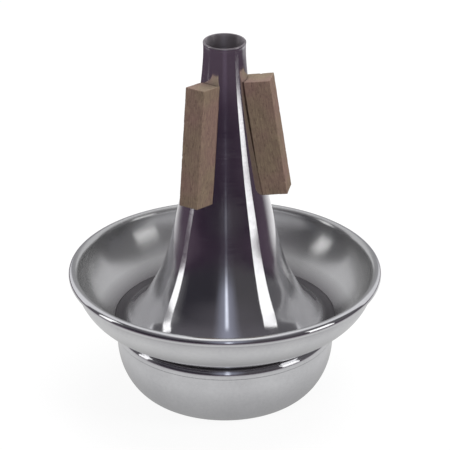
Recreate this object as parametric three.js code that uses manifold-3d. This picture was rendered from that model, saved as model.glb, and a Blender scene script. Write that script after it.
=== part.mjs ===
// Cup mute for a piccolo trumpet: a flared cone that slides into the bell on three cork strips,
// an open cup round its foot, and a bowl that closes the chamber below.
// Millimetres, +Z up. The origin is the centre of the flat base, on the surface the mute stands on.

import * as THREE from "three";
import { mergeVertices } from "three/addons/utils/BufferGeometryUtils.js";
import Module from "manifold-3d";

const wasm = await Module();
wasm.setup();

// Driving dimensions

const sheet = 0.7; // wall of each spun aluminium shell
const clearance = 0.3; // left between pieces that touch

const overallHeight = 123.2; // base to the throat's edge
const throatRadius = 6.7; // outside, just below the lip
const throatLip = 0.2; // how far the lip stands out
const throatLipHeight = 1.3; // half of it straight, half drawn in to the tube
const coneFootMargin = 0.3; // between the cone's edge and the start of the cup's wall

const cupRimRadius = 51; // outside of the rolled rim
const cupRimHeight = 43.5; // base to the top of the rolled rim
const rimRollRadius = 1.5;
const rimRollTurn = 270; // degrees that the sheet is rolled through
const cupFloorInset = 0.9; // how far inside the bowl's radius the cup's wall leaves its floor

const seamHeight = 24.7; // base to the underside of the cup's floor
const foldInset = 4.9; // from the bowl's radius in to the hole in the cup's floor
const foldReturn = 2.5; // length of sheet folded back under the bowl's edge

const bowlRadius = 35.4; // outside, below the bead
const bowlStraight = 2; // straight wall below the bead, before the bowl curves in
const baseRadius = 22; // flat that the mute stands on
const beadStep = 0.3; // how far the bead stands out from the bowl
const beadRadius = 2.2;
const beadHeight = 0.9; // straight part below the bead's round

const corkLength = 38.7;
const corkWidth = 7.1;
const corkDepth = 8.5; // at the top
const corkEdge = 0.6; // chamfer on the two outer edges
const corkDrop = 12.8; // from the throat's edge down to the upper end of each strip

// Where each strip sits round the cone, in degrees counter-clockwise from +X seen from above, and how far
// it is glued askew, turned in its own outer plane with its foot to the right
const corkStrips = [
  { name: "cork_strip_left", angle: 235, skew: 2 },
  { name: "cork_strip_right", angle: 348.5, skew: 0 },
  { name: "cork_strip_back", angle: 103, skew: 0 },
];

// Shares of height and of radius along the cone, from the throat down to the foot
const coneShares = [
  [0.93, 0.007],
  [0.85, 0.034],
  [0.665, 0.129],
  [0.48, 0.247],
  [0.365, 0.335],
  [0.255, 0.421],
  [0.17, 0.516],
  [0.105, 0.628],
  [0.055, 0.736],
  [0.022, 0.844],
  [0.007, 0.902],
  [0, 0.942],
  [0, 1],
];

// Shares of height and of radius up the inside of the cup's wall, from the floor to the rolled rim
const wallShares = [
  [0, 0],
  [0.054, 0.111],
  [0.144, 0.299],
  [0.269, 0.539],
  [0.414, 0.739],
  [0.593, 0.895],
  [0.774, 0.986],
  [1, 1],
];

// Facets: round the axis, and along each arc of an outline
const roundSteps = 48;
const rollSteps = 9;
const beadSteps = 4;
const bowlSteps = 8;

// Materials

const aluminium = new THREE.MeshStandardMaterial({ color: 0xd5d5da, roughness: 0.08, metalness: 1 });
const cork = new THREE.MeshStandardMaterial({ color: 0x7a5f50, roughness: 0.9, metalness: 0 });

// Outlines, in the half plane of radius x and height y

// A point at shares of a height and of a radius range
function stationAt([heightShare, radiusShare], lowest, highest, narrowest, widest) {
  const radius = narrowest + (widest - narrowest) * radiusShare;
  return new THREE.Vector2(radius, lowest + (highest - lowest) * heightShare);
}

// Points on a round or oval arc between two angles in degrees, both ends included
function arcPoints(centre, radiusX, radiusY, from, to, steps) {
  return Array.from({ length: steps + 1 }, (_, i) => {
    const angle = THREE.MathUtils.degToRad(from + ((to - from) * i) / steps);
    return new THREE.Vector2(centre.x + radiusX * Math.cos(angle), centre.y + radiusY * Math.sin(angle));
  });
}

// The other face of a sheet: each point of a path moved to its right by the sheet's wall
function otherFace(path, wall) {
  return path.map((point, i) => {
    const arriving = i > 0 ? point.clone().sub(path[i - 1]).normalize() : null;
    const leaving = i < path.length - 1 ? path[i + 1].clone().sub(point).normalize() : null;
    const straight = arriving ?? leaving;
    const along = straight.clone().add(leaving ?? arriving).normalize();
    const mitre = along.dot(straight);
    return new THREE.Vector2(point.x + (along.y * wall) / mitre, point.y - (along.x * wall) / mitre);
  });
}

// A body of revolution about +Z from an outline that starts and ends on the axis or closes on itself
function turned(outline) {
  return new THREE.LatheGeometry(outline, roundSteps).rotateX(Math.PI / 2);
}

// A spun shell from the path along one face of its sheet, with the sheet on the path's right
function spunShell(path, wall) {
  const outline = [...path.toReversed(), ...otherFace(path, wall)];
  if (path.at(-1).x > 0) outline.push(outline[0].clone());
  return turned(outline);
}

// Booleans

function toSolid(geometry) {
  const loose = geometry.index ? geometry.toNonIndexed() : geometry;
  const bare = new THREE.BufferGeometry();
  bare.setAttribute("position", loose.getAttribute("position"));
  const merged = mergeVertices(bare);
  const vertProperties = merged.attributes.position.array;
  const triVerts = new Uint32Array(merged.index.array);
  return new wasm.Manifold(new wasm.Mesh({ numProp: 3, vertProperties, triVerts }));
}

function toGeometry(solid) {
  const { vertProperties, triVerts } = solid.getMesh();
  const geometry = new THREE.BufferGeometry();
  geometry.setAttribute("position", new THREE.BufferAttribute(new Float32Array(vertProperties), 3));
  geometry.setIndex(new THREE.BufferAttribute(new Uint32Array(triVerts), 1));
  geometry.computeVertexNormals();
  return geometry;
}

const mute = new THREE.Group();

function addPiece(name, geometry, material) {
  const piece = new THREE.Mesh(geometry, material);
  piece.name = name;
  mute.add(piece);
}

// Cup: the wall ends in a rolled rim, and the floor is folded round the bowl's turned-in edge

const floorTop = seamHeight + sheet;
const cupFloorRadius = bowlRadius - cupFloorInset;
const foldRadius = bowlRadius - foldInset;
const foldBottom = seamHeight - 2 * (clearance + sheet);
const rollCentre = new THREE.Vector2(cupRimRadius - rimRollRadius, cupRimHeight - rimRollRadius);
const wallTopRadius = rollCentre.x - rimRollRadius;
const rimRoll = arcPoints(rollCentre, rimRollRadius, rimRollRadius, 180, 180 - rimRollTurn, rollSteps);

const cupPath = [
  new THREE.Vector2(foldRadius + foldReturn, foldBottom),
  new THREE.Vector2(foldRadius, foldBottom),
  new THREE.Vector2(foldRadius, floorTop),
  ...wallShares.map((share) => stationAt(share, floorTop, rollCentre.y, cupFloorRadius, wallTopRadius)),
  ...rimRoll.slice(1),
];

addPiece("cup_shell", spunShell(cupPath, sheet), aluminium);

// Bowl: closes the chamber, with a bead at the seam and a turned-in edge that the cup is folded round

const edgeTop = seamHeight - clearance;
const edgeRadius = foldRadius + sheet + clearance;
const beadCentre = new THREE.Vector2(bowlRadius + beadStep - beadRadius, edgeTop - beadRadius);
const beadFoot = beadCentre.y - beadHeight;
const wallFoot = beadFoot - beadStep - bowlStraight;
const turnCentre = new THREE.Vector2(baseRadius, wallFoot);

const bowlPath = [
  new THREE.Vector2(edgeRadius, edgeTop),
  ...arcPoints(beadCentre, beadRadius, beadRadius, 90, 0, beadSteps),
  new THREE.Vector2(bowlRadius + beadStep, beadFoot),
  new THREE.Vector2(bowlRadius, beadFoot - beadStep),
  ...arcPoints(turnCentre, bowlRadius - baseRadius, wallFoot, 0, -90, bowlSteps),
  new THREE.Vector2(0, 0),
];

addPiece("bottom_bowl", spunShell(bowlPath, sheet), aluminium);

// Cone: open at the throat, flared down to a thin foot that lies on the cup's floor

const coneFootTop = floorTop + clearance + sheet;
const coneFootRadius = cupFloorRadius - coneFootMargin;

const lipRadius = throatRadius + throatLip;

const conePath = [
  new THREE.Vector2(lipRadius, overallHeight),
  new THREE.Vector2(lipRadius, overallHeight - throatLipHeight / 2),
  new THREE.Vector2(throatRadius, overallHeight - throatLipHeight),
  ...coneShares.map((share) => stationAt(share, coneFootTop, overallHeight, throatRadius, coneFootRadius)),
];

addPiece("cone_shell", spunShell(conePath, sheet), aluminium);

// Cork strips: blocks that lean with the cone, hollowed to sit on it, their outer edges chamfered

// Distance from the axis to a strip's inner edge, where it meets the cone at a given height
function seatDistance(height) {
  const below = conePath.findIndex((point) => point.y <= height);
  const upper = conePath[below - 1];
  const lower = conePath[below];
  const share = (upper.y - height) / (upper.y - lower.y);
  const radius = upper.x + (lower.x - upper.x) * share + clearance;
  return Math.sqrt(radius ** 2 - (corkWidth / 2) ** 2);
}

// The strips lean as the cone does along their upper half, and are pared to its flare below that
const corkTop = overallHeight - corkDrop;
const seatSpan = corkLength / 2;
const corkLean = Math.atan2(seatDistance(corkTop - seatSpan) - seatDistance(corkTop), seatSpan);

// The room that the strips leave for the cone: its outside, larger by the clearance, filled to the axis
const coneRoom = toSolid(
  turned([
    new THREE.Vector2(0, coneFootTop),
    ...conePath.toReversed().map((point) => new THREE.Vector2(point.x + clearance, point.y)),
    new THREE.Vector2(0, overallHeight),
  ]),
);

function corkStrip(angle, skew) {
  const half = corkWidth / 2;
  const reach = corkDepth / 2; // spare depth towards the axis, all of it inside the cone's room
  const section = new THREE.Shape([
    new THREE.Vector2(-reach, -half),
    new THREE.Vector2(corkDepth - corkEdge, -half),
    new THREE.Vector2(corkDepth, corkEdge - half),
    new THREE.Vector2(corkDepth, half - corkEdge),
    new THREE.Vector2(corkDepth - corkEdge, half),
    new THREE.Vector2(-reach, half),
  ]);
  const block = new THREE.ExtrudeGeometry(section, { depth: corkLength, bevelEnabled: false });
  block.translate(0, 0, -corkLength / 2);
  block.rotateX(THREE.MathUtils.degToRad(skew));
  block.translate(0, 0, -corkLength / 2);
  block.rotateY(-corkLean);
  block.translate(seatDistance(corkTop), 0, corkTop);
  block.rotateZ(THREE.MathUtils.degToRad(angle));
  return toGeometry(toSolid(block).subtract(coneRoom));
}

for (const { name, angle, skew } of corkStrips) addPiece(name, corkStrip(angle, skew), cork);

export default mute;
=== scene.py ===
# Cup mute for a piccolo trumpet: three spun aluminium shells seamed together, with cork strips on the cone.
# Metres throughout, +Z up, origin at the centre of the flat base. Sizes are written as millimetres times mm.

import math

import bmesh
import bpy
import numpy as np
from mathutils import Matrix, Vector


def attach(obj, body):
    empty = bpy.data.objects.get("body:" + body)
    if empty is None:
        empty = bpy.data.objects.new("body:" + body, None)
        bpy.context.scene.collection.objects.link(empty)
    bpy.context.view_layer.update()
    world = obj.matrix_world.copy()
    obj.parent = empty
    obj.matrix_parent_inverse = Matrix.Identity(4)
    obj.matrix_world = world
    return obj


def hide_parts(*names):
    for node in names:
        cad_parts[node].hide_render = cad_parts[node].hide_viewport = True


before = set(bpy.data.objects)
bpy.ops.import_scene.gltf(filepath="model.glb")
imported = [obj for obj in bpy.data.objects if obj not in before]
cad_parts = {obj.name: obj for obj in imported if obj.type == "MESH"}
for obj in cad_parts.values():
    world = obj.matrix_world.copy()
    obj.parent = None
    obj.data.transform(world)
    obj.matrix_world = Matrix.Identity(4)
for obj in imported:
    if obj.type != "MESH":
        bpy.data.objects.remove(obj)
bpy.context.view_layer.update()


# Bottom bowl
# The closed lower half of the mute: a bowl spun from one disc of aluminium sheet over a wooden former,
# with a bead at its shoulder. Its turned-in edge is held in a fold of the cup's floor.

mm = 0.001
sheet = 0.7 * mm  # wall of every spun shell
round_steps = 256  # facets round the axis
edge_steps = 6  # facets round the edge of a sheet
feather_length = 2.2 * sheet  # how far in from its edge a feathered sheet thins out
join_gap = 0.001 * mm  # points closer than this are one point

seam_height = 24.7 * mm
clearance = 0.3 * mm
fold_radius = 30.5 * mm
bowl_radius = 35.4 * mm
bowl_straight = 2 * mm
base_radius = 22 * mm
bead_step = 0.3 * mm
bead_radius = 2.2 * mm
bead_height = 0.9 * mm
bead_run = 0.62 * mm  # height over which the bead runs in to the wall


def arc(centre, radius_x, radius_z, start, end, steps):
    """Points on a round or oval arc between two angles in degrees, both ends included."""
    angles = np.radians(np.linspace(start, end, steps + 1))
    return np.column_stack([centre[0] + radius_x * np.cos(angles), centre[1] + radius_z * np.sin(angles)])


def fair_line(stations, spacing):
    """A curve through a few stations with no jump in its bend, as a sheet takes over a former."""
    stations = np.array(stations, float)
    lengths = np.hypot(*np.diff(stations, axis=0).T)
    along = np.concatenate([[0], np.cumsum(lengths)])
    count = len(stations)
    system = np.eye(count)
    pull = np.zeros((count, 2))
    slopes = np.diff(stations, axis=0) / lengths[:, None]
    for i in range(1, count - 1):
        system[i, i - 1 : i + 2] = lengths[i - 1], 2 * (lengths[i - 1] + lengths[i]), lengths[i]
        pull[i] = 6 * (slopes[i] - slopes[i - 1])
    system[0, 1] = system[-1, -2] = -1
    bends = np.linalg.solve(system, pull)
    places = np.linspace(0, along[-1], int(along[-1] / spacing) + 2)
    part = np.clip(np.searchsorted(along, places, side="right") - 1, 0, count - 2)
    length = lengths[part][:, None]
    after = (places - along[part])[:, None] / length
    before = 1 - after
    line = before * stations[part] + after * stations[part + 1]
    bow = (before**3 - before) * bends[part] + (after**3 - after) * bends[part + 1]
    return line + bow * length**2 / 6


def sheet_outline(path, end="round"):
    """The outline of a sheet whose one face follows the path, with the sheet on the path's right.

    It ends round, on the axis, or feathered out to nothing. The second result is 1 on the path's own face.
    """
    path = np.array(path)
    steps = np.diff(path, axis=0)
    path = path[np.concatenate([[True], np.hypot(*steps.T) > join_gap])]
    ahead = np.gradient(path, axis=0)
    ahead /= np.hypot(*ahead.T)[:, None]
    right = np.column_stack([ahead[:, 1], -ahead[:, 0]])
    other = path + right * sheet
    if end == "feathered":
        other = other[np.hypot(*(other - path[-1]).T) > feather_length]
    turns = np.radians(np.linspace(0, 180, edge_steps + 1))[1:-1, None]
    start_turn = (right[0] * np.cos(turns) + ahead[0] * np.sin(turns)) * sheet / 2
    outline = [path[::-1], (path[0] + other[0]) / 2 - start_turn, other]
    if end == "round":
        end_turn = (right[-1] * np.cos(turns) + ahead[-1] * np.sin(turns)) * sheet / 2
        outline.append((path[-1] + other[-1]) / 2 + end_turn)
    if end != "axis":
        outline.append(path[-1:])
    outline = np.concatenate(outline)
    return outline, (np.arange(len(outline)) < len(path)).astype(float)


def place(tree, kind, feeds=(), **settings):
    """Adds one node. settings are its properties, feeds its inputs: values, or the sockets that feed them."""
    made = tree.nodes.new(kind)
    for name, value in settings.items():
        setattr(made, name, value)
    for name, value in dict(feeds).items():
        socket = made.inputs[name] if isinstance(name, int) else open_socket(made.inputs, name)
        if isinstance(value, bpy.types.NodeSocket):
            tree.links.new(value, socket)
        else:
            socket.default_value = value
    return made


def open_socket(sockets, name):
    """The socket of that name that the node uses with its present settings."""
    return next(socket for socket in sockets if socket.name == name and socket.enabled)


def reckon(tree, operation, *values):
    """A sum on one or two values."""
    return place(tree, "ShaderNodeMath", dict(enumerate(values)), operation=operation).outputs[0]


def reckon_vector(tree, operation, *vectors):
    """A sum on one or two vectors. It gives a vector, or a value where it is a length."""
    made = place(tree, "ShaderNodeVectorMath", dict(enumerate(vectors)), operation=operation)
    return made.outputs["Value" if operation == "LENGTH" else "Vector"]


def ranged(tree, value, low, high, start=0, end=1):
    """A value between start and end, stretched to run from low to high."""
    feeds = {"Value": value, "From Min": start, "From Max": end, "To Min": low, "To Max": high}
    return place(tree, "ShaderNodeMapRange", feeds).outputs[0]


def blended(tree, factor, first, second, kind="RGBA", way="MIX"):
    """Two colours, or two values where the kind is FLOAT, mixed by a factor."""
    feeds = {"Factor": factor, "A": first, "B": second}
    made = place(tree, "ShaderNodeMix", feeds, data_type=kind, blend_type=way)
    return open_socket(made.outputs, "Result")


def spun_shell_tree():
    """Geometry Nodes that turn an outline's points round the axis into a closed shell."""
    tree = bpy.data.node_groups.new("spun_shell", "GeometryNodeTree")
    for name, kind in (("Outline", "Geometry"), ("Steps round", "Int"), ("Finish", "Material")):
        tree.interface.new_socket(name, in_out="INPUT", socket_type="NodeSocket" + kind)
    tree.interface.new_socket("Shell", in_out="OUTPUT", socket_type="NodeSocketGeometry")
    given = place(tree, "NodeGroupInput").outputs
    size = place(tree, "GeometryNodeAttributeDomainSize", {"Geometry": given["Outline"]})
    points = size.outputs["Point Count"]
    columns = place(tree, "FunctionNodeIntegerMath", {0: given["Steps round"], 1: 1})
    grid = place(tree, "GeometryNodeMeshGrid", {"Vertices X": columns.outputs[0], "Vertices Y": points})
    index = place(tree, "GeometryNodeInputIndex").outputs["Index"]
    column = place(tree, "FunctionNodeIntegerMath", {0: index, 1: points}, operation="DIVIDE_FLOOR")
    row = place(tree, "FunctionNodeIntegerMath", {0: index, 1: points}, operation="MODULO")

    # Each grid point takes its place in the outline, and whether it is unpolished there, from its row
    position = place(tree, "GeometryNodeInputPosition").outputs["Position"]
    feeds = {"Geometry": given["Outline"], "Value": position, "Index": row.outputs[0]}
    station = place(tree, "GeometryNodeSampleIndex", feeds, data_type="FLOAT_VECTOR")
    plain = place(tree, "GeometryNodeInputNamedAttribute", {"Name": "unpolished"}, data_type="FLOAT")
    plain = open_socket(plain.outputs, "Attribute")
    feeds = {"Geometry": given["Outline"], "Value": plain, "Index": row.outputs[0]}
    plain = place(tree, "GeometryNodeSampleIndex", feeds, data_type="FLOAT")
    plain = open_socket(plain.outputs, "Value")
    feeds = {"Geometry": grid.outputs["Mesh"], "Name": "unpolished", "Value": plain}
    grid = place(tree, "GeometryNodeStoreNamedAttribute", feeds, data_type="FLOAT", domain="POINT")

    # Its column says how far it is turned round the axis
    share = reckon(tree, "DIVIDE", column.outputs[0], given["Steps round"])
    angle = reckon(tree, "MULTIPLY", share, math.tau)
    feeds = {"Vector": station.outputs["Value"], "Angle": angle}
    turned = place(tree, "ShaderNodeVectorRotate", feeds, rotation_type="Z_AXIS")
    feeds = {"Geometry": grid.outputs[0], "Position": turned.outputs["Vector"]}
    shell = place(tree, "GeometryNodeSetPosition", feeds)
    feeds = {"Geometry": shell.outputs[0], "Distance": join_gap / 2}
    shell = place(tree, "GeometryNodeMergeByDistance", feeds)
    shell = place(tree, "GeometryNodeSetShadeSmooth", {"Geometry": shell.outputs[0]})
    shell = place(tree, "GeometryNodeRealizeInstances", {"Geometry": shell.outputs[0]})
    feeds = {"Geometry": shell.outputs[0], "Material": given["Finish"]}
    shell = place(tree, "GeometryNodeSetMaterial", feeds)
    place(tree, "NodeGroupOutput", {"Shell": shell.outputs[0]})
    return tree


def spin(name, outline, unpolished, finish):
    """A shell of revolution from the outline's points, as a plain mesh on an object at the origin."""
    source = bpy.data.meshes.new(name)
    source.from_pydata([(radius, 0, height) for radius, height in outline], [], [])
    source.attributes.new("unpolished", "FLOAT", "POINT").data.foreach_set("value", unpolished)
    piece = bpy.data.objects.new(name, source)
    bpy.context.scene.collection.objects.link(piece)
    modifier = piece.modifiers.new("spun_shell", "NODES")
    modifier.node_group = spun_shell
    inputs = {"Steps round": round_steps, "Finish": finish}
    for socket in spun_shell.interface.items_tree:
        if socket.name in inputs:
            modifier[socket.identifier] = inputs[socket.name]
    drawn = piece.evaluated_get(bpy.context.evaluated_depsgraph_get())
    shell = bpy.data.meshes.new_from_object(drawn)
    piece.modifiers.remove(modifier)
    piece.data = shell
    return piece


def mottle_group():
    """Slow and fine unevenness of a surface, as one value round a half, for any material."""
    tree = bpy.data.node_groups.new("mottle", "ShaderNodeTree")
    tree.interface.new_socket("Place", in_out="INPUT", socket_type="NodeSocketVector")
    for name in ("Broad size", "Fine size", "Fine share"):
        tree.interface.new_socket(name, in_out="INPUT", socket_type="NodeSocketFloat")
    tree.interface.new_socket("Mottle", in_out="OUTPUT", socket_type="NodeSocketFloat")
    given = place(tree, "NodeGroupInput").outputs
    layers = []
    for size in ("Broad size", "Fine size"):
        scale = reckon(tree, "DIVIDE", 1, given[size])
        feeds = {"Vector": given["Place"], "Scale": scale, "Detail": 3}
        layers.append(place(tree, "ShaderNodeTexNoise", feeds).outputs["Fac"])
    both = blended(tree, given["Fine share"], *layers, kind="FLOAT")
    place(tree, "NodeGroupOutput", {"Mottle": both})
    return tree


def turning_lines_group():
    """Fine lines that the spinning tool and the mop leave round the axis, as one value, broken softly."""
    tree = bpy.data.node_groups.new("turning_lines", "ShaderNodeTree")
    for name in ("Line width", "Arcs round"):
        tree.interface.new_socket(name, in_out="INPUT", socket_type="NodeSocketFloat")
    tree.interface.new_socket("Lines", in_out="OUTPUT", socket_type="NodeSocketFloat")
    given = place(tree, "NodeGroupInput").outputs
    at = place(tree, "ShaderNodeTexCoord").outputs["Object"]
    flat = reckon_vector(tree, "MULTIPLY", at, (1, 1, 0))
    out = reckon(tree, "DIVIDE", reckon_vector(tree, "LENGTH", flat), given["Line width"])
    height = place(tree, "ShaderNodeSeparateXYZ", {0: at}).outputs["Z"]
    up = reckon(tree, "DIVIDE", height, given["Line width"])
    feeds = {0: reckon_vector(tree, "NORMALIZE", flat), "Scale": given["Arcs round"]}
    way = place(tree, "ShaderNodeVectorMath", feeds, operation="SCALE").outputs[0]
    ways = place(tree, "ShaderNodeSeparateXYZ", {0: way}).outputs
    spot = place(tree, "ShaderNodeCombineXYZ", {"X": ways["X"], "Y": ways["Y"], "Z": out}).outputs[0]
    feeds = {"Vector": spot, "W": up, "Scale": 1, "Detail": 2, "Roughness": 0.6}
    lines = place(tree, "ShaderNodeTexNoise", feeds, noise_dimensions="4D")
    place(tree, "NodeGroupOutput", {"Lines": lines.outputs["Fac"]})
    return tree


def polished_aluminium(name, tints, smooth, rough, plain_tint, plain_rough, seam, valley=None):
    """Spun and mopped aluminium: a bright mirror with fine turning lines and a faint uneven haze.

    The side that the mop doesn't reach is plainer and rougher. Painted shade darkens the seam and, on the
    plain side, the valley round the cone's foot. Each is given as the height where the painted shade begins
    to show and the height where it is full.
    """
    material = bpy.data.materials.new(name)
    material.use_nodes = True
    tree = material.node_tree
    shader = tree.nodes["Principled BSDF"]
    shader.inputs["Anisotropic"].default_value = 1  # the lines spread a reflection across themselves
    shader.inputs["Anisotropic Rotation"].default_value = 0.25
    along_lines = place(tree, "ShaderNodeTangent", direction_type="RADIAL", axis="Z").outputs[0]
    tree.links.new(along_lines, shader.inputs["Tangent"])

    at = place(tree, "ShaderNodeTexCoord").outputs["Object"]
    feeds = {"Place": at, "Broad size": haze_patch, "Fine size": haze_speck, "Fine share": 0.3}
    haze = place(tree, "ShaderNodeGroup", feeds, node_tree=mottle).outputs[0]
    feeds = {"Line width": line_width, "Arcs round": 1.5}
    lines = place(tree, "ShaderNodeGroup", feeds, node_tree=turning_lines).outputs[0]
    colour = blended(tree, ranged(tree, haze, 0, 1, 0.35, 0.65), *tints)
    roughness = ranged(tree, reckon(tree, "MULTIPLY", haze, lines), smooth, rough, 0.1, 0.45)

    plain = place(tree, "ShaderNodeAttribute", attribute_name="unpolished").outputs["Fac"]
    colour = blended(tree, plain, colour, plain_tint)
    roughness = blended(tree, plain, roughness, plain_rough, kind="FLOAT")
    tree.links.new(ranged(tree, plain, 1, plain_metallic), shader.inputs["Metallic"])

    height = place(tree, "ShaderNodeSeparateXYZ", {0: at}).outputs["Z"]
    # Painted shade darkens the valley round the cone's foot and the seam between the shells
    if valley:
        valley_shade = reckon(tree, "MULTIPLY", plain, ranged(tree, height, 0, 0.8, *valley))
        colour = blended(tree, valley_shade, colour, painted_crease_shade)
    seam_shade = ranged(tree, height, 0, 1, *seam)
    colour = blended(tree, seam_shade, colour, painted_crease_shade)
    roughness = blended(tree, seam_shade, roughness, crease_shade_rough, kind="FLOAT")
    tree.links.new(colour, shader.inputs["Base Color"])
    tree.links.new(roughness, shader.inputs["Roughness"])

    raised = reckon(tree, "MULTIPLY", lines, ranged(tree, plain, 1, 0))
    feeds = {"Strength": 1, "Distance": line_depth, "Height": raised}
    tree.links.new(place(tree, "ShaderNodeBump", feeds).outputs[0], shader.inputs["Normal"])
    return material


spun_shell = spun_shell_tree()
mottle = mottle_group()
turning_lines = turning_lines_group()

haze_patch = 14 * mm
haze_speck = 1.1 * mm
line_width = 0.22 * mm
line_depth = 0.0006 * mm
plain_metallic = 0.86
# Painted shade in the seam and in the valley round the cone's foot, and the roughness where it lies
crease_shade_rough = 0.4
painted_crease_shade = (0.13, 0.12, 0.13, 1)
bowl_finish = polished_aluminium(
    "spun_bowl",
    tints=((0.80, 0.80, 0.82, 1), (0.72, 0.72, 0.74, 1)),
    smooth=0.07,
    rough=0.16,
    plain_tint=(0.55, 0.54, 0.56, 1),
    plain_rough=0.4,
    seam=(24.15 * mm, 24.4 * mm),
)

edge_top = seam_height - clearance
bead_centre = (bowl_radius + bead_step - bead_radius, edge_top - bead_radius)
bead_foot = bead_centre[1] - bead_height
wall_foot = bead_foot - bead_step - bowl_straight

bowl_path = np.concatenate([
    [(fold_radius + sheet + clearance, edge_top)],
    arc(bead_centre, bead_radius, bead_radius, 90, 0, steps=14),
    [(bowl_radius + bead_step, bead_foot)],
    arc((bowl_radius, bead_foot), bead_step, bead_step, 0, -70, steps=5),
    arc((bowl_radius + bead_step, bead_foot - bead_run), bead_step, bead_step, 110, 180, steps=4),
    arc((base_radius, wall_foot), bowl_radius - base_radius, wall_foot, 0, -90, steps=64),
    np.linspace((base_radius, 0), (0, 0), 9)[1:],
])
bowl_outline, outer_face = sheet_outline(bowl_path, end="axis")
bowl = spin("spun_bowl", bowl_outline, 1 - outer_face, bowl_finish)
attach(bowl, "root")
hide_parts("bottom_bowl")


# Cup
# The open cup that faces the bell: sheet aluminium spun with a round-bottomed wall, its edge rolled outwards
# into a bead for stiffness. Its floor is folded tight round the bowl's edge, which makes the seam.

cup_floor_radius = 34.5 * mm
floor_top = seam_height + sheet
fold_return = 2.5 * mm
fold_bottom = seam_height - 2 * (clearance + sheet)
rim_radius = 51 * mm
rim_height = 43.5 * mm
roll_radius = 1.5 * mm
roll_centre = (rim_radius - roll_radius, rim_height - roll_radius)
mopped_radius = 49.9 * mm  # the mop reaches the rolled edge from here outwards
mopped_fade = 1 * mm
cup_wall = [
    (cup_floor_radius, floor_top),
    (36.0 * mm, 26.3 * mm),
    (38.54 * mm, 27.79 * mm),
    (41.78 * mm, 29.87 * mm),
    (44.48 * mm, 32.27 * mm),
    (46.58 * mm, 35.24 * mm),
    (47.81 * mm, 38.25 * mm),
    (rim_radius - 2 * roll_radius, roll_centre[1]),
]

cup_path = np.concatenate([
    [(fold_radius + fold_return, fold_bottom)],
    arc((fold_radius + sheet, fold_bottom + sheet), sheet, sheet, 270, 180, steps=6),
    arc((fold_radius + sheet, floor_top - sheet), sheet, sheet, 180, 90, steps=6),
    fair_line(cup_wall, spacing=0.35 * mm),
    arc(roll_centre, roll_radius, roll_radius, 180, -90, steps=40)[1:],
])
cup_finish = polished_aluminium(
    "spun_cup",
    tints=((0.80, 0.80, 0.81, 1), (0.73, 0.73, 0.75, 1)),
    smooth=0.06,
    rough=0.15,
    plain_tint=(0.56, 0.56, 0.56, 1),
    plain_rough=0.22,
    seam=(25.4 * mm, 24.95 * mm),
    valley=(29.6 * mm, 26.4 * mm),
)
cup_outline, inner_face = sheet_outline(cup_path)
inner_face *= np.clip((mopped_radius - cup_outline[:, 0]) / mopped_fade, 0, 1)
cup = spin("spun_cup", cup_outline, inner_face, cup_finish)
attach(cup, "root")
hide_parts("cup_shell")


# Cone
# The flared tube that slides into the bell: aluminium spun over a long tapered former, open at the throat,
# where a narrow lip is turned out. Its foot spreads thin over the cup's floor and is held there.

overall_height = 123.2 * mm
throat_edge = 0.42 * mm  # height of the sheet's rounded edge above the wall's first point
cone_wall = [
    (6.86 * mm, overall_height - throat_edge),
    (6.77 * mm, 122.2 * mm),
    (6.75 * mm, 121.4 * mm),
    (6.76 * mm, 119.4 * mm),
    (6.91 * mm, 116.4 * mm),
    (7.62 * mm, 108.7 * mm),
    (10.25 * mm, 90.8 * mm),
    (13.49 * mm, 72.9 * mm),
    (15.92 * mm, 61.7 * mm),
    (18.26 * mm, 51.1 * mm),
    (20.89 * mm, 42.9 * mm),
    (23.99 * mm, 36.6 * mm),
    (26.94 * mm, 31.7 * mm),
    (29.9 * mm, 28.5 * mm),
    (31.5 * mm, 27.1 * mm),
    (32.9 * mm, 26.45 * mm),
    (34.3 * mm, 26.38 * mm),
    (36.2 * mm, 26.38 * mm),
]

cone_line = fair_line(cone_wall, spacing=0.6 * mm)
cone_finish = polished_aluminium(
    "spun_cone",
    tints=((0.80, 0.795, 0.81, 1), (0.73, 0.725, 0.745, 1)),
    smooth=0.05,
    rough=0.13,
    plain_tint=(0.50, 0.46, 0.49, 1),
    plain_rough=0.55,
    seam=(27.3 * mm, 26.3 * mm),
)
cone_outline, outer_face = sheet_outline(cone_line, end="feathered")
cone = spin("spun_cone", cone_outline, 1 - outer_face, cone_finish)
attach(cone, "root")
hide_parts("cone_shell")


# Cork strips
# Three blocks cut from natural sheet cork, pared hollow on the inside and glued along the cone. They wedge
# in the bell and hold the mute. Handling has worn their edges round, with small pits and a few chips.

cork_length = 38.7 * mm
cork_width = 7.1 * mm
cork_depth = 8.5 * mm
cork_top = overall_height - 12.8 * mm
cork_seat = 6.912 * mm  # from the axis to the edges of the back, at the top
cork_lean = math.radians(8.747)  # as the cone leans behind the strips' upper half
cork_edge = 0.28 * mm  # how far the cut edges are worn round
cork_step = 0.22 * mm
glue = 0.04 * mm
glued_depth = 0.8 * mm  # nothing is worn this near the cone
grain_height = 0.02 * mm
grain_size = 0.55 * mm
wear_height = 0.05 * mm
wear_size = 2.6 * mm
highest_grain = 0.04 * mm
pit_count = 30
chip_count = 6

# Degrees round the cone, degrees glued askew with the foot to the right, and how much longer the strip was
# cut at its upper end than the plain length
cork_places = {
    "cork_strip_left": (235, 2, 0.2 * mm),
    "cork_strip_right": (348.5, 0, 0.6 * mm),
    "cork_strip_back": (103, 0, 0),
}


def cone_outside(height):
    """The cone's outer radius at a height."""
    return np.interp(height, cone_line[::-1, 1], cone_line[::-1, 0])


def edged(low, high, low_round=True):
    """Places from low to high, about a step apart, and closer where an edge is rounded."""
    near = cork_edge * (1 - np.tan(np.radians([45, 30, 15, 0])))
    start = low + near if low_round else np.array([low])
    end = high - near[::-1]
    middle = np.linspace(start[-1], end[0], int((end[0] - start[-1]) / cork_step) + 2)
    return np.concatenate([start, middle[1:-1], end])


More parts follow.
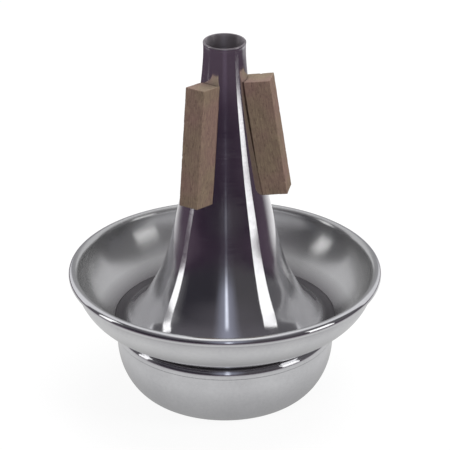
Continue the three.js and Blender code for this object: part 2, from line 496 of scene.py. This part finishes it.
def soft_noise(points, cell, seed):
    """Smooth noise from -1 to 1 at points, with features about a cell across, from a lattice that repeats."""
    repeat = 16  # cells
    lattice = np.random.default_rng(seed).uniform(-1, 1, (repeat, repeat, repeat))
    spot = points / cell
    corner = np.floor(spot).astype(int)
    part = spot - corner
    part = part * part * (3 - 2 * part)
    total = np.zeros(len(points))
    for step in np.ndindex(2, 2, 2):
        weight = np.prod(np.where(step, part, 1 - part), axis=1)
        total += weight * lattice[tuple(((corner + step) % repeat).T)]
    return total


def cork_faces(longer):
    """Grids over the block's six faces: each point as depth, width and length coordinates, and its quads."""
    depths = edged(0, cork_depth, low_round=False)
    widths = edged(-cork_width / 2, cork_width / 2)
    lengths = edged(-cork_length, longer)
    points = []
    quads = []
    for fixed, value, first, second, turned in (
        (0, 0, widths, lengths, True),
        (0, cork_depth, widths, lengths, False),
        (1, -cork_width / 2, depths, lengths, False),
        (1, cork_width / 2, depths, lengths, True),
        (2, -cork_length, depths, widths, True),
        (2, longer, depths, widths, False),
    ):
        a, b = np.meshgrid(first, second, indexing="ij")
        grid = np.insert(np.stack([a.ravel(), b.ravel()], axis=1), fixed, value, axis=1)
        index = np.arange(len(grid)).reshape(a.shape) + sum(map(len, points))
        corners = [index[:-1, :-1], index[1:, :-1], index[1:, 1:], index[:-1, 1:]]
        points.append(grid)
        quads.append(np.stack([c.ravel() for c in (corners[::-1] if turned else corners)], axis=1))
    return np.concatenate(points), np.concatenate(quads)


def hollow(points, centre, size, depth_share, stretch=1):
    """How deep a round hollow at a centre is at each point. stretch makes it longer along the strip."""
    away = np.linalg.norm((points - centre) / (1, 1, stretch), axis=1)
    return depth_share * size * np.clip(1 - (away / size) ** 2, 0, 1)


def worn_block(block, longer, seed):
    """The block's points with worn edges, pits and chips, and the way out of the block at each point."""
    low = np.array([-1, -cork_width / 2 + cork_edge, -cork_length + cork_edge])
    high = np.array([cork_depth - cork_edge, cork_width / 2 - cork_edge, longer - cork_edge])
    core = np.clip(block, low, high)
    out = block - core
    far = np.linalg.norm(out, axis=1, keepdims=True)
    out = np.divide(out, far, out=np.zeros_like(out), where=far > 0)
    worn = core + out * np.minimum(far, cork_edge)

    chance = np.random.default_rng(seed)
    loose = np.clip(block[:, 0] / glued_depth, 0, 1)
    rough = grain_height * soft_noise(block + 7 * seed, grain_size, seed)
    rough += wear_height * soft_noise(block, wear_size, seed + 1)
    sunk = np.zeros(len(block))
    surface = np.flatnonzero(far[:, 0] > 0.5 * cork_edge)
    for centre in block[chance.choice(surface, pit_count)]:
        size = chance.uniform(0.22, 0.42) * mm
        stretch = chance.uniform(1, 2.2)
        sunk = np.maximum(sunk, hollow(block, centre, size, 0.45, stretch))
    edges = np.flatnonzero(far[:, 0] > 1.2 * cork_edge)
    for centre in block[chance.choice(edges, chip_count)]:
        size = chance.uniform(0.25, 0.45) * mm
        sunk = np.maximum(sunk, hollow(block, centre, size, 0.3))
    worn += out * (loose * (np.minimum(rough, highest_grain) - sunk))[:, None]
    return worn, out


def glued_on(worn, angle, skew):
    """The points of a strip set in its place on the cone, with its inside following the cone."""
    skew = math.radians(skew)
    length = worn[:, 2] + cork_length / 2
    width = worn[:, 1] * math.cos(skew) - length * math.sin(skew)
    length = worn[:, 1] * math.sin(skew) + length * math.cos(skew) - cork_length / 2
    lean_out = math.sin(cork_lean)
    lean_up = math.cos(cork_lean)

    def stood(depth):
        """Distance out from the axis and height of the strip's points at a depth."""
        across = cork_seat + depth * lean_up - length * lean_out
        return across, cork_top + depth * lean_out + length * lean_up

    # The depth at which each point of the back meets the cone, closed in on in a few rounds
    inside = np.zeros(len(worn))
    for _ in range(12):
        across, height = stood(inside)
        inside += cone_outside(height) + glue - np.hypot(across, width)
    inside = np.maximum(inside, 0)
    across, height = stood(inside + worn[:, 0] * (cork_depth - inside) / cork_depth)
    turn = math.radians(angle)
    x = across * math.cos(turn) - width * math.sin(turn)
    y = across * math.sin(turn) + width * math.cos(turn)
    return np.column_stack([x, y, height])


def cork_strip(name, angle, skew, longer, seed, finish):
    """One strip, with its place along the block and its cut ends marked for the finish."""
    block, quads = cork_faces(longer)
    worn, out = worn_block(block, longer, seed)
    mesh = bpy.data.meshes.new(name)
    mesh.from_pydata(glued_on(worn, angle, skew).tolist(), [], quads.tolist())
    mesh.attributes.new("strip_place", "FLOAT_VECTOR", "POINT").data.foreach_set("vector", block.ravel())
    ends = np.clip(np.abs(out[:, 2]) * 2 - 0.6, 0, 1)  # fading where the end is worn round to a side
    mesh.attributes.new("cut_end", "FLOAT", "POINT").data.foreach_set("value", ends)
    shape = bmesh.new()
    shape.from_mesh(mesh)
    bmesh.ops.remove_doubles(shape, verts=shape.verts, dist=join_gap)
    bmesh.ops.recalc_face_normals(shape, faces=shape.faces)
    shape.to_mesh(mesh)
    shape.free()
    mesh.shade_smooth()
    mesh.materials.append(finish)
    piece = bpy.data.objects.new(name.replace("strip_", ""), mesh)
    bpy.context.scene.collection.objects.link(piece)
    return piece


def stretched_along(tree, at, share):
    """Places along the strip drawn together to a share, so that what is drawn there is longer."""
    return reckon_vector(tree, "MULTIPLY", at, (1, 1, share))


def natural_cork():
    """Sheet cork: warm brown, with darker streaks along it, dark pores and flecks, and paler ends."""
    material = bpy.data.materials.new("natural_cork")
    material.use_nodes = True
    tree = material.node_tree
    shader = tree.nodes["Principled BSDF"]
    shader.inputs["Specular IOR Level"].default_value = 0.25
    at = place(tree, "ShaderNodeAttribute", attribute_name="strip_place").outputs["Vector"]
    ends = place(tree, "ShaderNodeAttribute", attribute_name="cut_end").outputs["Fac"]
    feeds = {"Place": at, "Broad size": tone_patch, "Fine size": tone_speck, "Fine share": 0.45}
    tone = place(tree, "ShaderNodeGroup", feeds, node_tree=mottle).outputs[0]
    feeds = {"Vector": stretched_along(tree, at, 0.16), "Scale": 1 / streak_width, "Detail": 3}
    streaks = place(tree, "ShaderNodeTexNoise", feeds).outputs["Fac"]
    feeds = {"Vector": stretched_along(tree, at, 0.45), "Scale": 1 / pore_width}
    pores = place(tree, "ShaderNodeTexVoronoi", feeds).outputs["Distance"]
    fleck = ranged(tree, pores, 1, 0, 0.1, 0.34)
    feeds = {"Vector": at, "Scale": 1 / cell_width}
    cells = place(tree, "ShaderNodeTexVoronoi", feeds).outputs["Distance"]
    feeds = {"Vector": at, "Scale": 1 / warmth_patch, "Detail": 1}
    patches = place(tree, "ShaderNodeTexNoise", feeds).outputs["Fac"]

    colour = blended(tree, ranged(tree, tone, 0, 1, 0.36, 0.64), cork_dark, cork_light)
    colour = blended(tree, ranged(tree, streaks, 0.7, 0, 0.38, 0.62), colour, cork_streak)
    colour = blended(tree, ranged(tree, fleck, 0, 0.5), colour, cork_pore)
    # Paler ends: partly sawn end grain, partly painted light from above
    colour = blended(tree, ranged(tree, ends, 0, 0.35), colour, cork_sawn_and_lit)
    warmth = blended(tree, ranged(tree, patches, 0, 1, 0.38, 0.62), cork_olive, cork_reddish)
    colour = blended(tree, 1, colour, warmth, way="MULTIPLY")
    tree.links.new(colour, shader.inputs["Base Color"])
    tree.links.new(ranged(tree, tone, 0.78, 0.95, 0.3, 0.7), shader.inputs["Roughness"])

    grain = reckon(tree, "ADD", reckon(tree, "SUBTRACT", cells, fleck), streaks)
    feeds = {"Strength": 0.9, "Distance": 0.025 * mm, "Height": grain}
    tree.links.new(place(tree, "ShaderNodeBump", feeds).outputs[0], shader.inputs["Normal"])
    return material


tone_patch = 3.2 * mm
tone_speck = 0.5 * mm
streak_width = 0.45 * mm
pore_width = 0.95 * mm
cell_width = 0.16 * mm
warmth_patch = 11 * mm
cork_light = (0.35, 0.262, 0.20, 1)
cork_dark = (0.27, 0.188, 0.155, 1)
cork_streak = (0.225, 0.155, 0.13, 1)
cork_pore = (0.15, 0.10, 0.085, 1)
# the ends: sawn end grain with painted light from above
cork_sawn_and_lit = (0.32, 0.265, 0.225, 1)
cork_olive = (0.99, 1.01, 0.91, 1)
cork_reddish = (1.03, 0.93, 0.96, 1)
cork_finish = natural_cork()
for seed, (node, (angle, skew, longer)) in enumerate(cork_places.items(), start=3):
    strip = cork_strip(node, angle, skew, longer, seed, cork_finish)
    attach(strip, "root")
    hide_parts(node)


# Floor
# A plain pale table top that the mute stands on. It is white to the camera and in the metal, and takes the
# mute's soft shadow.

floor_radius = 5.0
floor_glow = 0.9


def staged(name, mesh, finish):
    """An object of the stage."""
    mesh.materials.append(finish)
    made = bpy.data.objects.new(name, mesh)
    bpy.context.scene.collection.objects.link(made)
    return made


def disc(name, radius, height, finish):
    """A flat round sheet facing up, as part of the stage."""
    shape = bmesh.new()
    bmesh.ops.create_circle(shape, cap_ends=True, segments=96, radius=radius)
    mesh = bpy.data.meshes.new(name)
    shape.to_mesh(mesh)
    shape.free()
    mesh.transform(Matrix.Translation((0, 0, height)))
    return staged(name, mesh, finish)


def bare_material(name):
    """A material with no nodes yet."""
    material = bpy.data.materials.new(name)
    material.use_nodes = True
    material.node_tree.nodes.clear()
    return material


def seen_rays(tree):
    """1 for rays from the camera and for those that metal or glass sends on, otherwise 0."""
    rays = place(tree, "ShaderNodeLightPath").outputs
    seen = reckon(tree, "MAXIMUM", rays["Is Camera Ray"], rays["Is Glossy Ray"])
    return reckon(tree, "MAXIMUM", seen, rays["Is Transmission Ray"])


floor_finish = bare_material("pale_table")
tree = floor_finish.node_tree
feeds = {"Color": (1, 1, 1, 1), "Strength": reckon(tree, "MULTIPLY", seen_rays(tree), floor_glow)}
own_light = place(tree, "ShaderNodeEmission", feeds).outputs[0]
matt = place(tree, "ShaderNodeBsdfDiffuse", {"Color": (0.13, 0.13, 0.13, 1)}).outputs[0]
both = place(tree, "ShaderNodeAddShader", {0: own_light, 1: matt}).outputs[0]
place(tree, "ShaderNodeOutputMaterial", {"Surface": both})
disc("floor", floor_radius, 0, floor_finish)


# Surroundings that the polished metal shows
# The mute stands on a small pale sheet on a dark table, in a dark room. There is a pale backdrop behind and
# above, an upright soft box on each side, and a thin gap of daylight in front. Only reflections see these.


def only_reflected(made):
    """Leaves an object to be seen in polished metal only."""
    for ray in ("camera", "diffuse", "transmission", "shadow", "volume_scatter"):
        setattr(made, "visible_" + ray, False)


def eased(tree, value, start, end):
    """0 at start to 1 at end, with soft ends."""
    feeds = {"Value": value, "From Min": start, "From Max": end, "To Min": 0, "To Max": 1}
    return place(tree, "ShaderNodeMapRange", feeds, interpolation_type="SMOOTHSTEP").outputs[0]


def product(tree, *factors):
    """Values multiplied together."""
    total = factors[0]
    for factor in factors[1:]:
        total = reckon(tree, "MULTIPLY", total, factor)
    return total


def off_middle(tree, value, middle):
    """How far a value is from a middle, either way."""
    return reckon(tree, "ABSOLUTE", reckon(tree, "SUBTRACT", value, middle))


def compass(tree):
    """A point's direction from the origin in parts, its distance on the level, and how far behind it is.

    The parts and the last are from -1 to 1, and the distance is in metres.
    """
    at = place(tree, "ShaderNodeTexCoord").outputs["Object"]
    parts = place(tree, "ShaderNodeSeparateXYZ", {0: reckon_vector(tree, "NORMALIZE", at)}).outputs
    level = reckon_vector(tree, "MULTIPLY", at, (1, 1, 0))
    away = reckon_vector(tree, "LENGTH", level)
    level = reckon_vector(tree, "NORMALIZE", level)
    behind = place(tree, "ShaderNodeSeparateXYZ", {0: level}).outputs["Y"]
    return parts, away, behind


def glowing(tree, colour, strength=1):
    """Ends a material in light of its own."""
    light = place(tree, "ShaderNodeEmission", {"Color": colour, "Strength": strength}).outputs[0]
    place(tree, "ShaderNodeOutputMaterial", {"Surface": light})


def room_finish():
    """The room by direction: dark in front, grey above and at the sides, pale behind and overhead."""
    material = bare_material("studio_room")
    tree = material.node_tree
    parts, _, behind = compass(tree)
    colour = blended(tree, eased(tree, parts["X"], -0.45, 0.25), room_left, room_right)
    colour = blended(tree, eased(tree, parts["Z"], 0.30, 0.62), colour, room_upper)
    colour = blended(tree, eased(tree, behind, -0.42, -0.12), colour, room_side)
    colour = blended(tree, eased(tree, parts["Z"], 0.74, 0.93), colour, room_high)
    colour = blended(tree, eased(tree, behind, 0.33, 0.41), colour, room_back)
    low_back = product(tree, eased(tree, behind, 0.88, 0.96), eased(tree, parts["Z"], 0.66, 0.45))
    colour = blended(tree, low_back, colour, room_low_back)
    colour = blended(tree, eased(tree, parts["Z"], 0.90, 0.99), colour, room_overhead)
    aside = off_middle(tree, parts["X"], 0.045)
    front = eased(tree, behind, 0, -0.4)
    low = eased(tree, parts["Z"], -0.05, 0.3)
    for width, highest, tint in ((0.34, 0.95, room_glow), (0.07, 0.6, room_gap)):
        high = eased(tree, parts["Z"], highest, 0.8 * highest)
        gap = product(tree, eased(tree, aside, width, 0), front, low, high)
        colour = blended(tree, gap, colour, tint)
    glowing(tree, colour)
    return material


def panel(name, aside, distance, width, low, high, strength):
    """An upright white panel that faces the mute: degrees right of the viewer's side, and sizes in metres."""
    turn = math.radians(aside)
    middle = Vector((math.sin(turn), -math.cos(turn))) * distance
    across = Vector((math.cos(turn), math.sin(turn))) * width / 2
    left = middle - across
    right = middle + across
    mesh = bpy.data.meshes.new(name)
    corners = [(*left, low), (*right, low), (*right, high), (*left, high)]
    mesh.from_pydata(corners, [], [(0, 1, 2, 3)])
    finish = bare_material(name)
    glowing(finish.node_tree, (1, 1, 1, 1), strength)
    only_reflected(staged(name, mesh, finish))


room_radius = 3.0
room_left = (0.032, 0.030, 0.038, 1)
room_right = (0.080, 0.076, 0.082, 1)
room_upper = (0.115, 0.108, 0.122, 1)
room_side = (0.115, 0.112, 0.12, 1)
room_high = (0.36, 0.35, 0.37, 1)
room_back = (0.76, 0.76, 0.78, 1)
room_low_back = (0.32, 0.32, 0.33, 1)
room_overhead = (1.0, 1.0, 1.0, 1)
room_glow = (0.29, 0.30, 0.37, 1)
room_gap = (1.0, 1.05, 1.2, 1)

shape = bmesh.new()
bmesh.ops.create_uvsphere(shape, u_segments=64, v_segments=32, radius=room_radius)
room_mesh = bpy.data.meshes.new("studio_room")
shape.to_mesh(room_mesh)
shape.free()
only_reflected(staged("studio_room", room_mesh, room_finish()))

panel("right_softbox", aside=67.8, distance=0.51, width=0.18, low=0, high=0.30, strength=1.4)
panel("left_softbox", aside=-88.2, distance=0.61, width=0.13, low=-0.016, high=0.467, strength=1.4)

table_radius = 2.9
table_lift = 0.3 * mm  # clear of the floor
table_shaded = (0.36, 0.36, 0.36, 1)  # the pale sheet close to the mute's foot
table_pale = (0.62, 0.62, 0.62, 1)
table_sunlit = (1.0, 1.0, 1.0, 1)  # the pale sheet behind the mute
table_dark = (0.084, 0.060, 0.084, 1)  # past the sheet
table_far = (0.023, 0.013, 0.027, 1)
table_streak = (0.115, 0.085, 0.12, 1)  # a faint gleam straight in front

table_finish = bare_material("table_sheet")
tree = table_finish.node_tree
parts, away, behind = compass(tree)
colour = blended(tree, eased(tree, away, 0.022, 0.062), table_shaded, table_pale)
sunlit = product(tree, eased(tree, behind, 0.3, 0.7), eased(tree, away, 0.07, 0.14))
colour = blended(tree, sunlit, colour, table_sunlit)
aside = off_middle(tree, parts["X"], 0.02)
streak = product(tree, eased(tree, aside, 0.3, 0.05), eased(tree, behind, 0, -0.4))
dark = blended(tree, streak, table_dark, table_streak)
dark = blended(tree, eased(tree, away, 0.45, 0.85), dark, table_far)

# The pale sheet ends nearer in front, and reaches farther behind at the right
nearer = ranged(tree, behind, 1, 1.5, 0.1, -0.3)
right_behind = product(tree, eased(tree, behind, 0.2, 0.5), eased(tree, parts["X"], 0, 0.3))
reach = product(tree, away, nearer, ranged(tree, right_behind, 1, 0.74))
colour = blended(tree, eased(tree, reach, 0.09, 0.28), colour, dark)
glowing(tree, colour)
only_reflected(disc("table_sheet", table_radius, table_lift, table_finish))


# Lights
# A large soft light overhead, one at the right and a weaker one in front at the left, with even fill from the
# room. Polished metal doesn't show them, because it shows the panels above.

aim = Vector((0, 0, 58.72 * mm))  # the mute's middle as the camera sees it
light_distance = 1.2


def area_light(name, aside, raised, size, power):
    """A square light that faces the mute, from an angle aside and above, in degrees."""
    lamp = bpy.data.lights.new(name, "AREA")
    lamp.size = size
    lamp.energy = power
    made = bpy.data.objects.new(name, lamp)
    turn = math.radians(aside)
    lift = math.radians(raised)
    way = Vector((math.sin(turn) * math.cos(lift), -math.cos(turn) * math.cos(lift), math.sin(lift)))
    made.location = aim + way * light_distance
    made.rotation_euler = way.to_track_quat("Z", "Y").to_euler()
    made.visible_glossy = False
    bpy.context.scene.collection.objects.link(made)


area_light("overhead_light", aside=150, raised=75, size=1.0, power=10)
area_light("right_light", aside=70, raised=20, size=0.5, power=6)
area_light("front_light", aside=-30, raised=20, size=0.5, power=3.4)

fill = (0.36, 0.36, 0.36, 1)
white = (1, 1, 1, 1)
world = bpy.data.worlds.new("room_light")
world.use_nodes = True
world.node_tree.nodes.clear()
tree = world.node_tree
colour = blended(tree, seen_rays(tree), fill, white)
background = place(tree, "ShaderNodeBackground", {"Color": colour, "Strength": 1}).outputs[0]
place(tree, "ShaderNodeOutputWorld", {"Surface": background})
bpy.context.scene.world = world


# Camera
# At the photograph's height and distance, looking down at the mute's middle. A long lens keeps the shells
# nearly as round as they are, and a hair of roll and shift levels them as in the photograph.

look_down = math.radians(26)
camera_roll = math.radians(-0.09)
camera_distance = 1.0
lens = bpy.data.cameras.new("camera")
lens.lens = 246.94
lens.sensor_width = 36
lens.shift_x = 0.0004
camera = bpy.data.objects.new("camera", lens)
camera.location = aim + camera_distance * Vector((0, -math.cos(look_down), math.sin(look_down)))
pitch = Matrix.Rotation(math.radians(90) - look_down, 3, "X")
camera.rotation_euler = (pitch @ Matrix.Rotation(camera_roll, 3, "Z")).to_euler()
bpy.context.scene.collection.objects.link(camera)
bpy.context.scene.camera = camera

bpy.context.scene.view_settings.view_transform = "Standard"
